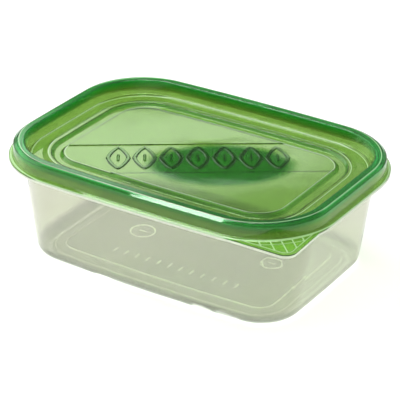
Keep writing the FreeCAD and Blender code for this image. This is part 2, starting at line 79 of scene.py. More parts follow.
WALL_INSET = 11.5 * MM  # just inside the channel's edge, where the painted shade on the steep walls starts
BEAD_LOW, BEAD_HIGH = 57.0 * MM, 60.6 * MM  # heights between which the bead's green deepens
FOOT_LOW, FOOT_HIGH = 3.0 * MM, 7.0 * MM  # heights between which the painted shade at the foot fades to clear
# painted highlight: what juts out past the rim above these heights is whitened
OVER_FLANGE = 51.0 * MM  # the tub's tab is above this height
OVER_TAB = 53.65 * MM  # the ribs and lines on the lid's tab are above this one
RIM_OUTSIDE = -0.3 * MM  # what has a smaller inset juts out past the rim

TAB_TOP = 53.554 * MM  # upper face of the pull tab
BAND_TOP = 53.700 * MM  # floor of the sunk band across the lid
BASE_TOP = 2.600 * MM  # upper face of the tub's base panel
AIR = 0.01 * MM  # between a raised form and the sheet that it stands on

RIM_CENTRE = Vector((50.344, -24.950)) * MM  # middle of the rim's round corner at the tab
RIM_RADIUS = RIM[2]
TAB_TIP = Vector((89.5, -64.1)) * MM  # the tab's corner before it is rounded
TAB_ON_LONG = Vector((54.0, -64.28)) * MM  # where the tab leaves the long side
TAB_ON_SHORT = Vector((88.80, -33.85)) * MM  # where it leaves the short side
TAB_ROUND = 6.0 * MM

BAND_TURN = math.radians(33.8)  # direction of the sunk band across the lid
OVAL = Vector((13.5, -1.0)) * MM  # middle of the oval of painted dark reflection in the lid, turned as the band is
OVAL_HALF = (36.0 * MM, 23.0 * MM)

ROW_MIDDLE = Vector((-0.4 * MM, -0.2 * MM, BAND_TOP + AIR))
RINGS = (  # middle and radius of the two rings on the base
    (Vector((-33.5, 0.0)) * MM, 6.5 * MM),
    (Vector((40.0, 7.0)) * MM, 5.5 * MM),
)
BAR_HALF = 2.0 * MM  # half the length of each short bar on the base
BARS_START = Vector((-34.0, -24.0)) * MM  # first and last bar of the row on the base
BARS_END = Vector((37.0, -22.5)) * MM
BAR_COUNT = 12

CAMERA_AZIMUTH = math.radians(31.897)  # from -Y towards +X
CAMERA_ELEVATION = math.radians(27.212)
CAMERA_ROLL = math.radians(0.808)
CAMERA_LENS = 173.44  # millimetres
CAMERA_SENSOR = 36  # millimetres wide
CAMERA_DISTANCE = 0.974115

TARGET_HEIGHT = 30.0 * MM
TARGET_SHIFT = (0.816 * MM, 0.070 * MM)  # to the right and up

# --- the plastic ----------------------------------------------------------------------

IOR = 1.49  # of polypropylene
FLOW_MARKS = 22.22 * MM  # long soft waves that the moulding leaves
GRAIN = 1.111 * MM  # of the polished mould, drawn this coarse so that it shows
CLOUDS = 8.33 * MM  # paler and stronger patches of the haze
NOISE_LOW, NOISE_HIGH = 0.3, 0.7  # the values that a noise mostly stays between
HAZE_SPREAD = 0.2  # how uneven the haze is
BLUR_SPREAD = 0.3  # how uneven both blurs are
PALER = 1.12  # the haze's pale patches against its colour


# --- shared helpers -------------------------------------------------------------------


def linear(hex_colour):
    """A six-digit sRGB colour as the linear RGBA that shaders take."""

    def one(byte):
        c = byte / 255
        return c / 12.92 if c <= 0.04045 else ((c + 0.055) / 1.055) ** 2.4

    value = int(hex_colour.lstrip("#"), 16)
    return (one(value >> 16), one(value >> 8 & 255), one(value & 255), 1.0)


def add_node(tree, kind, sockets=None, **settings):
    """Adds a node and returns it. Settings are its properties; sockets maps its inputs, by
    name or number, to a value, to an output that feeds them, or to a node whose first output
    does."""
    node = tree.nodes.new(kind)
    for name, value in settings.items():
        setattr(node, name, value)
    for name, value in (sockets or {}).items():
        source = value.outputs[0] if isinstance(value, bpy.types.Node) else value
        if isinstance(source, bpy.types.NodeSocket):
            tree.links.new(source, node.inputs[name])
        else:
            node.inputs[name].default_value = source
    return node


def new_material(name):
    """A material with an empty node tree."""
    material = bpy.data.materials.new(name)
    material.use_nodes = True
    material.node_tree.nodes.clear()
    return material, material.node_tree


def new_object(context, name, vertices, faces):
    """A mesh object in the scene, its normals turned outwards."""
    mesh = bpy.data.meshes.new(name)
    bm = bmesh.new()
    made = [bm.verts.new(v) for v in vertices]
    for face in faces:
        bm.faces.new([made[k] for k in face])
    bmesh.ops.recalc_face_normals(bm, faces=bm.faces)
    bm.to_mesh(mesh)
    bm.free()
    ob = bpy.data.objects.new(name, mesh)
    context.scene.collection.objects.link(ob)
    return ob


def keep(ob, material):
    """Gives a finished piece its material and ties it to the object."""
    if not ob.data.polygons:
        raise RuntimeError(ob.name + " has no faces")
    ob.data.materials.clear()
    ob.data.materials.append(material)
    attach(ob, "root")


def dress(node, material):
    """Puts the material on one of the CAD pieces."""
    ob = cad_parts[node]
    ob.data.materials.clear()
    ob.data.materials.append(material)


# --- raised forms ---------------------------------------------------------------------


def arc_points(centre, radius, start, end, count):
    """Points on an arc in the plane, angles in degrees."""
    points = []
    for k in range(count):
        angle = math.radians(start + (end - start) * k / (count - 1))
        points.append(centre + Vector((math.cos(angle), math.sin(angle))) * radius)
    return points


def raised_strip(path, closed, width, height, slope):
    """Vertices and faces of a low strip along a path in the plane, its sides leaning in by
    the slope. The foot is at height 0."""
    low, over = height * 0.8, slope * 1.6  # each upper edge is bevelled
    shortest = 0.5  # keeps the mitre at a sharp corner from growing long
    section = [
        (-width / 2, 0),
        (-width / 2 + slope, low),
        (-width / 2 + over, height),
        (width / 2 - over, height),
        (width / 2 - slope, low),
        (width / 2, 0),
    ]
    count, ring = len(path), len(section)
    vertices = []
    for k, point in enumerate(path):
        before = path[k - 1] if closed or k else point
        after = path[(k + 1) % count] if closed or k < count - 1 else point
        into = (point - before).normalized() if point != before else (after - point).normalized()
        out = (after - point).normalized() if point != after else into
        along = (into + out).normalized()
        side = Vector((-along.y, along.x)) / max(along.dot(into), shortest)
        vertices += [(*(point + side * across), up) for across, up in section]
    faces = []
    for k in range(count if closed else count - 1):
        a, b = k * ring, (k + 1) % count * ring
        for j in range(ring):
            i = (j + 1) % ring
            faces.append((a + j, a + i, b + i, b + j))
    if not closed:
        faces.append(tuple(range(ring)))
        faces.append(tuple(reversed(range((count - 1) * ring, count * ring))))
    return vertices, faces


def joined(shapes):
    """Vertices and faces of several shapes as one."""
    vertices, faces = [], []
    for more, more_faces in shapes:
        faces += [tuple(k + len(vertices) for k in face) for face in more_faces]
        vertices += more
    return vertices, faces


def lifted(vertices, height):
    """The vertices, moved up."""
    return [(x, y, z + height) for x, y, z in vertices]


def repeat_group(name):
    """Geometry Nodes group that sets copies of a piece at even steps along a line."""
    group = bpy.data.node_groups.new(name, "GeometryNodeTree")
    for label, kind in (
        ("Piece", "NodeSocketObject"),
        ("Count", "NodeSocketInt"),
        ("Start", "NodeSocketVector"),
        ("Step", "NodeSocketVector"),
        ("Turn", "NodeSocketRotation"),
        ("Material", "NodeSocketMaterial"),
    ):
        group.interface.new_socket(label, in_out="INPUT", socket_type=kind)
    group.interface.new_socket("Geometry", in_out="OUTPUT", socket_type="NodeSocketGeometry")

    given = add_node(group, "NodeGroupInput").outputs
    line = add_node(
        group, "GeometryNodeMeshLine",
        {"Count": given["Count"], "Start Location": given["Start"], "Offset": given["Step"]},
        mode="OFFSET",
    )
    piece = add_node(group, "GeometryNodeObjectInfo", {"Object": given["Piece"]})
    copies = add_node(
        group, "GeometryNodeInstanceOnPoints",
        {"Points": line, "Instance": piece.outputs["Geometry"], "Rotation": given["Turn"]},
    )
    real = add_node(group, "GeometryNodeRealizeInstances", {"Geometry": copies})
    finish = add_node(
        group, "GeometryNodeSetMaterial", {"Geometry": real, "Material": given["Material"]},
    )
    add_node(group, "NodeGroupOutput", {0: finish})
    return group


def repeated(context, name, shape, count, start, step, turn, material):
    """Bakes a row of copies of one shape and returns it as one object."""
    piece = new_object(context, name + "_piece", *shape)
    host = new_object(context, name + "_host", [], [])
    modifier = host.modifiers.new("row", "NODES")
    modifier.node_group = repeat_group(name + "_row")
    wanted = {
        "Piece": piece, "Count": count, "Start": start, "Step": step,
        "Turn": turn, "Material": material,
    }
    for item in modifier.node_group.interface.items_tree:
        if item.in_out == "INPUT":
            modifier[item.identifier] = wanted[item.name]
    host.update_tag()
    graph = context.evaluated_depsgraph_get()
    graph.update()
    mesh = bpy.data.meshes.new_from_object(host.evaluated_get(graph))
    host.modifiers.clear()
    bpy.data.objects.remove(host)
    bpy.data.objects.remove(piece)
    mesh.name = name
    row = bpy.data.objects.new(name, mesh)
    context.scene.collection.objects.link(row)
    return row


# --- moulded plastic ------------------------------------------------------------------


def edge_inset(tree, place, outline):
    """Node with the distance inwards from the outline."""
    half_length, half_width, corner = outline
    split = add_node(tree, "ShaderNodeSeparateXYZ", {0: place})
    x, y = split.outputs[0], split.outputs[1]
    outwards = []
    for along, across, half, bow in ((y, x, half_width, SHORT_BOW), (x, y, half_length, LONG_BOW)):
        square = add_node(tree, "ShaderNodeMath", {0: along, 1: along}, operation="MULTIPLY")
        sag = add_node(tree, "ShaderNodeMath", {0: square, 1: bow / half**2}, operation="MULTIPLY")
        plain = add_node(tree, "ShaderNodeMath", {0: across}, operation="ABSOLUTE")
        outwards.append(add_node(tree, "ShaderNodeMath", {0: plain, 1: sag}, operation="ADD"))
    flat = add_node(tree, "ShaderNodeCombineXYZ", {0: outwards[0], 1: outwards[1]})
    inner = (half_length - corner, half_width - corner, 0)
    past = add_node(tree, "ShaderNodeVectorMath", {0: flat, 1: inner}, operation="SUBTRACT")
    kept = add_node(tree, "ShaderNodeVectorMath", {0: past, 1: (0, 0, 0)}, operation="MAXIMUM")
    far = add_node(tree, "ShaderNodeVectorMath", {0: kept}, operation="LENGTH")
    return add_node(
        tree, "ShaderNodeMath", {0: corner, 1: far.outputs["Value"]}, operation="SUBTRACT",
    )


def line_at(tree, inset, middle, half):
    """Node that is 1 along a line at one inset and fades to 0 at half its width."""
    core = half * 0.4  # where it is full
    off = add_node(tree, "ShaderNodeMath", {0: inset, 1: middle}, operation="SUBTRACT")
    size = add_node(tree, "ShaderNodeMath", {0: off}, operation="ABSOLUTE")
    return add_node(tree, "ShaderNodeMapRange", {0: size, 1: half, 2: core, 3: 0.0, 4: 1.0})


def tub_tint(tree, look, coordinates):
    """Node with the tub's colour: clear, and greyer at the foot as painted shade of the shaded
    paper under the tub.
    """
    height = add_node(tree, "ShaderNodeSeparateXYZ", {0: coordinates.outputs["Object"]}).outputs[2]
    foot = add_node(
        tree, "ShaderNodeMapRange", {0: height, 1: FOOT_HIGH, 2: FOOT_LOW, 3: 0.0, 4: 1.0},
    )
    return add_node(tree, "ShaderNodeMixRGB", {0: foot, 1: look.tint, 2: look.foot_shade_tint})


def lid_tint(tree, look, coordinates):
    """Node with the lid's colour: an oval of painted dark reflection in its middle, steep walls
    darker partly from the plastic crossed slantwise and partly as painted shade, and a deeper
    green on the bead."""
    oval_out, oval_in = 1.12, 0.82  # the painted reflection fades over these shares of the oval's size
    level, steep = 0.97, 0.45  # upward part of the normal where the steep walls' painted shade starts and is full
    place = coordinates.outputs["Object"]
    inset = edge_inset(tree, place, RIM)
    height = add_node(tree, "ShaderNodeSeparateXYZ", {0: place}).outputs[2]
    moved = add_node(
        tree, "ShaderNodeMapping", {"Vector": place, "Location": (-OVAL.x, -OVAL.y, 0)},
    )
    turned = add_node(
        tree, "ShaderNodeMapping", {"Vector": moved, "Rotation": (0, 0, -BAND_TURN)},
    )
    scale = (1 / OVAL_HALF[0], 1 / OVAL_HALF[1], 0)
    round_place = add_node(tree, "ShaderNodeMapping", {"Vector": turned, "Scale": scale})
    far = add_node(tree, "ShaderNodeVectorMath", {0: round_place}, operation="LENGTH")
    oval = add_node(
        tree, "ShaderNodeMapRange",
        {0: far.outputs["Value"], 1: oval_out, 2: oval_in, 3: 0.0, 4: look.painted_reflection_share},
        interpolation_type="SMOOTHSTEP",
    )
    # painted reflection: the oval darkens the lid's colour where a dark reflection lies
    tint_with_painted_reflection = add_node(tree, "ShaderNodeMixRGB", {0: oval, 1: look.tint, 2: look.painted_reflection_tint})

    # steep walls darker, partly from the plastic crossed slantwise and partly as painted shade;
    # the share grows with the slope, whichever way the wall faces
    facing = add_node(tree, "ShaderNodeSeparateXYZ", {0: coordinates.outputs["Normal"]})
    upward = add_node(tree, "ShaderNodeMath", {0: facing.outputs[2]}, operation="ABSOLUTE")
    sloping = add_node(
        tree, "ShaderNodeMapRange", {0: upward, 1: level, 2: steep, 3: 0.0, 4: look.wall_depth_and_shade_share},
    )
    within = add_node(tree, "ShaderNodeMath", {0: inset, 1: WALL_INSET}, operation="GREATER_THAN")
    wall = add_node(tree, "ShaderNodeMath", {0: sloping, 1: within}, operation="MULTIPLY")
    tint = add_node(tree, "ShaderNodeMixRGB", {0: wall, 1: tint_with_painted_reflection, 2: look.wall_depth_and_shade_tint})

    bead = add_node(
        tree, "ShaderNodeMapRange", {0: height, 1: BEAD_LOW, 2: BEAD_HIGH, 3: 0.0, 4: 1.0},
    )
    return add_node(tree, "ShaderNodeMixRGB", {0: bead, 1: tint, 2: look.bead_tint})


def sheet_plastic(name, look, tint_of, arrises, proud_from):
    """Moulded polypropylene sheet. It passes light as thin glass does and takes some colour out of
    it. Part of the light scatters milkily. Along the arrises and on what juts out past the rim
    above a height the scatter is whiter and stronger: painted highlight lines on the tub and the
    lid, and a real matt frosting where one line covers a whole piece. The gloss grows with the
    angle."""
    material, tree = new_material(name)
    coordinates = add_node(tree, "ShaderNodeTexCoord")
    place = coordinates.outputs["Object"]

    # the surface is never quite flat: flow marks, with the mould's grain over them
    waves = add_node(
        tree, "ShaderNodeTexNoise", {"Vector": place, "Scale": 1 / FLOW_MARKS, "Detail": 1.0},
    )
    grain = add_node(
        tree, "ShaderNodeTexNoise", {"Vector": place, "Scale": 1 / GRAIN, "Detail": 2.0},
    )
    bent = add_node(
        tree, "ShaderNodeBump", {"Height": waves, "Strength": 1.0, "Distance": 0.03 * MM},
    )
    normal = add_node(
        tree, "ShaderNodeBump",
        {"Height": grain, "Strength": 0.4, "Distance": 0.002 * MM, "Normal": bent},
    )

    # painted highlight lines and matt frosting: 1 on what juts out at the tab's corner and along
    # the arrises, 0 elsewhere. On the tub and the lid this paints highlight lines; where one line
    # covers a whole piece it is a real matt frosting
    inset = edge_inset(tree, place, RIM)
    height = add_node(tree, "ShaderNodeSeparateXYZ", {0: place}).outputs[2]
    outside = add_node(tree, "ShaderNodeMath", {0: inset, 1: RIM_OUTSIDE}, operation="LESS_THAN")
    proud = add_node(tree, "ShaderNodeMath", {0: height, 1: proud_from}, operation="GREATER_THAN")
    frost_and_highlight = add_node(tree, "ShaderNodeMath", {0: outside, 1: proud}, operation="MULTIPLY")
    for outline, middle, half in arrises:
        line = line_at(tree, edge_inset(tree, place, outline), middle, half)
        frost_and_highlight = add_node(tree, "ShaderNodeMath", {0: frost_and_highlight, 1: line}, operation="MAXIMUM")

    # the haze varies in strength and colour, and both blurs vary with the grain
    cloud = add_node(
        tree, "ShaderNodeTexNoise", {"Vector": place, "Scale": 1 / CLOUDS, "Detail": 3.0},
    )
    haze, blur, shine = (
        add_node(
            tree, "ShaderNodeMapRange",
            {
                0: noise, 1: NOISE_LOW, 2: NOISE_HIGH,
                3: amount * (1 - spread), 4: amount * (1 + spread),
            },
        )
        for noise, amount, spread in (
            (cloud, look.haze, HAZE_SPREAD),
            (grain, look.blur, BLUR_SPREAD),
            (grain, look.polish, BLUR_SPREAD),
        )
    )
    # the painted highlight lines and the matt frosting take the edge colour and the edge share of
    # scatter
    share = add_node(tree, "ShaderNodeMapRange", {0: frost_and_highlight, 3: haze, 4: look.edge_haze})
    ramp = add_node(tree, "ShaderNodeValToRGB", {0: cloud})
    ramp.color_ramp.elements[0].color = look.haze_colour
    ramp.color_ramp.elements[1].color = [min(1, c * PALER) for c in look.haze_colour]
    milk_colour = add_node(tree, "ShaderNodeMixRGB", {0: frost_and_highlight, 1: ramp, 2: look.edge_colour})

    # what passes through, what scatters and what the face mirrors
    tint = tint_of(tree, look, coordinates)
    clear = add_node(
        tree, "ShaderNodeBsdfRefraction",
        {"Color": tint, "IOR": IOR, "Roughness": blur, "Normal": normal},
    )
    back = add_node(tree, "ShaderNodeBsdfDiffuse", {"Color": milk_colour})
    on = add_node(tree, "ShaderNodeBsdfTranslucent", {"Color": milk_colour})
    milk = add_node(tree, "ShaderNodeMixShader", {0: 0.5, 1: back, 2: on})
    body = add_node(tree, "ShaderNodeMixShader", {0: share, 1: clear, 2: milk})
    gloss = add_node(
        tree, "ShaderNodeBsdfGlossy",
        {"Color": linear("#FFFFFF"), "Roughness": shine, "Normal": normal},
    )
    fresnel = add_node(tree, "ShaderNodeFresnel", {"IOR": IOR, "Normal": normal})
    surface = add_node(tree, "ShaderNodeMixShader", {0: fresnel, 1: body, 2: gloss})

    # a thin sheet casts next to no shadow
    through = add_node(tree, "ShaderNodeBsdfTransparent", {"Color": linear("#FFFFFF")})
    path = add_node(tree, "ShaderNodeLightPath")
    whole = add_node(
        tree, "ShaderNodeMixShader",
        {0: path.outputs["Is Shadow Ray"], 1: surface, 2: through},
    )
    depth = add_node(
        tree, "ShaderNodeVolumeAbsorption", {"Color": look.depth_colour, "Density": 1 / MM},
    )
    add_node(tree, "ShaderNodeOutputMaterial", {"Surface": whole, "Volume": depth})
    return material


# --- tub ------------------------------------------------------------------------------


class TubLook(bpy.types.PropertyGroup):
    """Clear plastic of the tub"""

    tint: FloatVectorProperty(
        name="Tint", description="Colour that each face passes", subtype="COLOR", size=4,
        default=linear("#F6F6F2"),
    )
    # painted shade: the foot is greyed to stand for the shaded paper under the tub
    foot_shade_tint: FloatVectorProperty(
        name="Foot tint", description="Colour that the foot passes", subtype="COLOR", size=4,
        default=linear("#CECED1"),
    )
    depth_colour: FloatVectorProperty(
        name="Depth colour", description="Colour that a millimetre of the plastic passes",
        subtype="COLOR", size=4, default=linear("#F9FAF7"),
    )
    haze_colour: FloatVectorProperty(
        name="Haze colour", description="Colour of the milky part", subtype="COLOR", size=4,
        default=linear("#D2CFBE"),
    )
    haze: FloatProperty(
        name="Haze", description="Share of milky scatter", subtype="FACTOR", min=0, max=1,
        default=0.15,
    )
    # painted highlight: the frosted arrises are painted highlight lines; on the base marks this
    # colour is a real matt frosting
    edge_colour: FloatVectorProperty(
        name="Edge colour", description="Colour of the frosted arrises", subtype="COLOR",
        size=4, default=linear("#FFFFFA"),
    )
    edge_haze: FloatProperty(
        name="Edge haze", description="Share of milky scatter there", subtype="FACTOR", min=0,
        max=1, default=0.75,
    )
    blur: FloatProperty(
        name="Blur", description="Blur of what is seen through", subtype="FACTOR", min=0,
        max=1, default=0.03,
    )
    polish: FloatProperty(
        name="Polish", description="Blur of the gloss", subtype="FACTOR", min=0, max=1,
        default=0.05,
    )


class SCENE_OT_tub(bpy.types.Operator):
    """Gives the tub its clear plastic"""

    bl_idname = "food_tub.tub"
    bl_label = "Tub"

    def execute(self, context):
        # unpigmented polypropylene, moulded glossy: clear with a warm milky haze, with painted
        # highlight lines in white on the rolled rim and along the fine roundings of the base, and
        # painted shade greying the foot
        material = sheet_plastic(
            "clear moulded polypropylene", context.scene.food_tub_clear, tub_tint,
            TUB_ARRISES, OVER_FLANGE,
        )
        dress("tub", material)
        return {"FINISHED"}


# --- lid ------------------------------------------------------------------------------


class LidLook(bpy.types.PropertyGroup):
    """Green plastic of the lid"""

    tint: FloatVectorProperty(
        name="Tint", description="Colour that each face passes", subtype="COLOR", size=4,
        default=linear("#BFDA97"),
    )
    bead_tint: FloatVectorProperty(
        name="Bead tint", description="Colour that the bead passes", subtype="COLOR", size=4,
        default=linear("#6CDF9E"),
    )
    # partly painted shade: the steep walls are darker than the plastic's depth alone makes them
    wall_depth_and_shade_tint: FloatVectorProperty(
        name="Wall tint", description="Colour that the steep inner walls pass",
        subtype="COLOR", size=4, default=linear("#69B161"),
    )
    wall_depth_and_shade_share: FloatProperty(
        name="Wall share", description="Strength of the wall tint", subtype="FACTOR", min=0,
        max=1, default=0.9,
    )
    # painted reflection: the oval's colour stands for a dark reflection in the middle of the lid,
    # not for the plastic
    painted_reflection_tint: FloatVectorProperty(
        name="Oval tint", description="Colour that the oval in the middle passes",
        subtype="COLOR", size=4, default=linear("#55AD5D"),
    )
    painted_reflection_share: FloatProperty(
        name="Oval share", description="Strength of the oval tint", subtype="FACTOR", min=0,
        max=1, default=0.9,
    )
    depth_colour: FloatVectorProperty(
        name="Depth colour", description="Colour that a millimetre of the plastic passes",
        subtype="COLOR", size=4, default=linear("#F3FAEF"),
    )
    haze_colour: FloatVectorProperty(
        name="Haze colour", description="Colour of the milky part", subtype="COLOR", size=4,
        default=linear("#6FB84A"),
    )
    haze: FloatProperty(
        name="Haze", description="Share of milky scatter", subtype="FACTOR", min=0, max=1,
        default=0.05,
    )
    # painted highlight: the frosted arrises are painted highlight lines
    edge_colour: FloatVectorProperty(
        name="Edge colour", description="Colour of the frosted arrises", subtype="COLOR",
        size=4, default=linear("#E2F5D8"),
    )
    edge_haze: FloatProperty(
        name="Edge haze", description="Share of milky scatter there", subtype="FACTOR", min=0,
        max=1, default=0.7,
    )
    blur: FloatProperty(
        name="Blur", description="Blur of what is seen through", subtype="FACTOR", min=0,
        max=1, default=0.02,
    )
    polish: FloatProperty(
        name="Polish", description="Blur of the gloss", subtype="FACTOR", min=0, max=1,
        default=0.03,
    )


class SCENE_OT_lid(bpy.types.Operator):
    """Gives the lid its green plastic"""

    bl_idname = "food_tub.lid"
    bl_label = "Lid"

    def execute(self, context):
        # polypropylene with a transparent green pigment, moulded glossy: yellow-green where the
        # sheet lies flat and deeper on the bead. The steep walls are darker, partly from the
        # plastic crossed slantwise and partly as painted shade; an oval of painted dark reflection
        # lies in the middle, and painted highlight lines are pale on its fine edges
        material = sheet_plastic(
            "green moulded polypropylene", context.scene.food_tub_green, lid_tint,
            LID_ARRISES, OVER_TAB,
        )
        dress("lid", material)
        return {"FINISHED"}


# --- raised row on the band -----------------------------------------------------------


class RowSettings(bpy.types.PropertyGroup):
    """The row of raised lozenges on the lid's band"""

    count: IntProperty(name="Count", description="Lozenges in the row", default=7, min=1)
    pitch: FloatProperty(
        name="Pitch", description="Step from one to the next", unit="LENGTH",
        default=13.3 * MM,
    )
    turn: FloatProperty(
        name="Turn", description="Direction of the row", subtype="ANGLE", default=BAND_TURN,
    )
    half_width: FloatProperty(
        name="Half width", description="Along the row", unit="LENGTH", default=5.1 * MM,
    )
    half_height: FloatProperty(
        name="Half height", description="Across the row", unit="LENGTH", default=11.6 * MM,
    )
    stroke: FloatProperty(
        name="Stroke", description="Width of the raised line", unit="LENGTH",
        default=2.3 * MM,
    )
    rise: FloatProperty(
        name="Rise", description="Height of the line", unit="LENGTH", default=0.45 * MM,
    )


def lozenge(settings):
    """A rounded lozenge as a ring, with a small raised bar in the middle."""
    power = 1.35  # between a diamond at 1 and an ellipse at 2
    steps, slope = 72, 0.35 * MM
    bar_half, bar_width = 3.4 * MM, 1.5 * MM
    path = []
    for k in range(steps):
        angle = 2 * math.pi * k / steps
        c, s = math.cos(angle), math.sin(angle)
        x = math.copysign(abs(c) ** (2 / power), c) * settings.half_width
        y = math.copysign(abs(s) ** (2 / power), s) * settings.half_height
        path.append(Vector((x, y)))
    ring = raised_strip(path, True, settings.stroke, settings.rise, slope)
    line = [Vector((0, y)) for y in (-bar_half, 0, bar_half)]
    return joined((ring, raised_strip(line, False, bar_width, settings.rise, slope)))


class SCENE_OT_row(bpy.types.Operator):
    """Raises the row of lozenges on the lid's band"""

    bl_idname = "food_tub.row"
    bl_label = "Raised row"

    def execute(self, context):
        settings = context.scene.food_tub_row
        along = Vector((math.cos(settings.turn), math.sin(settings.turn), 0))
        step = along * settings.pitch
        start = ROW_MIDDLE - step * ((settings.count - 1) / 2)
        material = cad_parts["lid"].data.materials[0]
        row = repeated(
            context, "raised_row", lozenge(settings), settings.count, start, step,
            (0.0, 0.0, settings.turn), material,
        )
        keep(row, material)
        return {"FINISHED"}


# --- raised lines on the tab ----------------------------------------------------------


class SCENE_OT_tab_lines(bpy.types.Operator):
    """Raises the edge line and the cross line on the pull tab"""

    bl_idname = "food_tub.tab_lines"
    bl_label = "Tab lines"

    def execute(self, context):
        inside = 2.0 * MM  # from the tab's edge to the line along it
        long_end, short_end = 7.0 * MM, 5.0 * MM  # where that line stops, from the lip
        cross_radius = RIM_RADIUS + 2.6 * MM
        cross_start, cross_end = -61, -29  # degrees
        edge_width, cross_width = 0.5 * MM, 0.45 * MM
        rise, slope = 0.25 * MM, 0.12 * MM
        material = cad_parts["lid"].data.materials[0]
        long_way = (TAB_TIP - TAB_ON_LONG).normalized()
        short_way = (TAB_ON_SHORT - TAB_TIP).normalized()
        into_long = Vector((-long_way.y, long_way.x))
        into_short = Vector((-short_way.y, short_way.x))
        reach = TAB_ROUND * math.tan(long_way.angle(short_way) / 2)
        corner = TAB_TIP - long_way * reach + into_long * TAB_ROUND
        first = math.degrees(math.atan2(-into_long.y, -into_long.x))
        last = math.degrees(math.atan2(-into_short.y, -into_short.x))

        edge = [TAB_ON_LONG + long_way * long_end + into_long * inside]
        edge += arc_points(corner, TAB_ROUND - inside, first, last, count=12)
        edge += [TAB_ON_SHORT - short_way * short_end + into_short * inside]
        cross = arc_points(RIM_CENTRE, cross_radius, cross_start, cross_end, count=24)
        for name, path, width in (
            ("tab_edge_line", edge, edge_width),
            ("tab_cross_line", cross, cross_width),
        ):
            vertices, faces = raised_strip(path, False, width, rise, slope)
            line = new_object(context, name, lifted(vertices, TAB_TOP + AIR), faces)
            keep(line, material)
        return {"FINISHED"}


# --- marks on the base ----------------------------------------------------------------


class SCENE_OT_base_marks(bpy.types.Operator):
    """Adds two plain rings and a row of short bars, bare of any sign, on the base"""

    bl_idname = "food_tub.base_marks"
    bl_label = "Base marks"

    def execute(self, context):
        width, rise, slope = 0.9 * MM, 0.25 * MM, 0.1 * MM
        along = (-BAR_HALF, 0.0, BAR_HALF)
        # the tub's own polypropylene, matt where the mould was left rough: a milky white
        # that shows up against the clear base
        material = sheet_plastic(
            "frosted raised polypropylene", context.scene.food_tub_clear, tub_tint,
            ALL_OVER, OVER_FLANGE,
        )

        shapes = []
        for middle, radius in RINGS:
            circle = arc_points(middle, radius, 0, 345, count=24)
            shapes.append(raised_strip(circle, True, width, rise, slope))
            bar = [middle + Vector((x, 0.0)) for x in along]
            shapes.append(raised_strip(bar, False, width, rise, slope))
        vertices, faces = joined(shapes)
        rings = new_object(context, "base_rings", lifted(vertices, BASE_TOP + AIR), faces)
        keep(rings, material)

        upright = [Vector((0.0, y)) for y in along]
        step = (BARS_END - BARS_START) / (BAR_COUNT - 1)
        bars = repeated(
            context, "base_bars", raised_strip(upright, False, width, rise, slope), BAR_COUNT,
            Vector((*BARS_START, BASE_TOP + AIR)), Vector((*step, 0)), (0.0, 0.0, 0.0),
            material,
        )
        keep(bars, material)
        return {"FINISHED"}


# --- studio ---------------------------------------------------------------------------


class StudioSettings(bpy.types.PropertyGroup):
    """Light around the object"""

    surround: FloatProperty(name="Surround", description="Brightness of the room", default=0.42)
    back_wall: FloatProperty(
        name="Back wall", description="Brightness of the dim wall behind", default=0.3,
    )
    back_panel: FloatProperty(
        name="Back panel", description="Brightness of the panel before that wall",
        default=2.1,
    )
    window: FloatProperty(
        name="Window", description="Brightness of the window on the left", default=1.9,
    )
    key_power: FloatProperty(
        name="Key power", description="Power of the main lamp", unit="POWER", default=11.0,
    )
    strip_power: FloatProperty(
        name="Strip power", description="Power of the strip lamp", unit="POWER", default=0.2,
    )


def studio_patch(tree, direction, azimuth, elevation, half_width, half_height, soft):
    """Node that is 1 inside an oval patch of the surroundings and 0 outside. Azimuth turns
    from +Y to -X. Angles are in degrees, and soft is how far the edge fades."""
    a, e = math.radians(azimuth), math.radians(elevation)
    ahead = Vector((-math.sin(a) * math.cos(e), math.cos(a) * math.cos(e), math.sin(e)))
    level = Vector((math.cos(a), math.sin(a), 0))
    squares = []
    for axis, half in ((level, half_width), (level.cross(ahead), half_height)):
        dot = add_node(
            tree, "ShaderNodeVectorMath", {0: direction, 1: axis}, operation="DOT_PRODUCT",
        )
        part = add_node(
            tree, "ShaderNodeMath",
            {0: dot.outputs["Value"], 1: math.sin(math.radians(half))}, operation="DIVIDE",
        )
        squares.append(add_node(tree, "ShaderNodeMath", {0: part, 1: part}, operation="MULTIPLY"))
    far = add_node(tree, "ShaderNodeMath", {0: squares[0], 1: squares[1]}, operation="ADD")
    inside = add_node(
        tree, "ShaderNodeMapRange", {0: far, 1: 1 + soft, 2: 1 - soft, 3: 0.0, 4: 1.0},
        interpolation_type="SMOOTHSTEP",
    )
    dot = add_node(
        tree, "ShaderNodeVectorMath", {0: direction, 1: ahead}, operation="DOT_PRODUCT",
    )
    front = add_node(
        tree, "ShaderNodeMath", {0: dot.outputs["Value"], 1: 0.0}, operation="GREATER_THAN",
    )
    return add_node(tree, "ShaderNodeMath", {0: inside, 1: front}, operation="MULTIPLY")


def add_table(context):
    """A wide flat sheet of white paper under the object."""
    half = 3.0
    table = new_object(
        context, "table",
        [(-half, -half, 0), (half, -half, 0), (half, half, 0), (-half, half, 0)],
        [(0, 1, 2, 3)],
    )
    # seamless background paper: matt and pure white, its grain too fine to see, so that the
    # eye stays on the edges of the clear tub
    material, tree = new_material("white seamless paper")
    shader = add_node(tree, "ShaderNodeBsdfDiffuse", {"Color": linear("#FFFFFF")})
    add_node(tree, "ShaderNodeOutputMaterial", {"Surface": shader})
    table.data.materials.append(material)


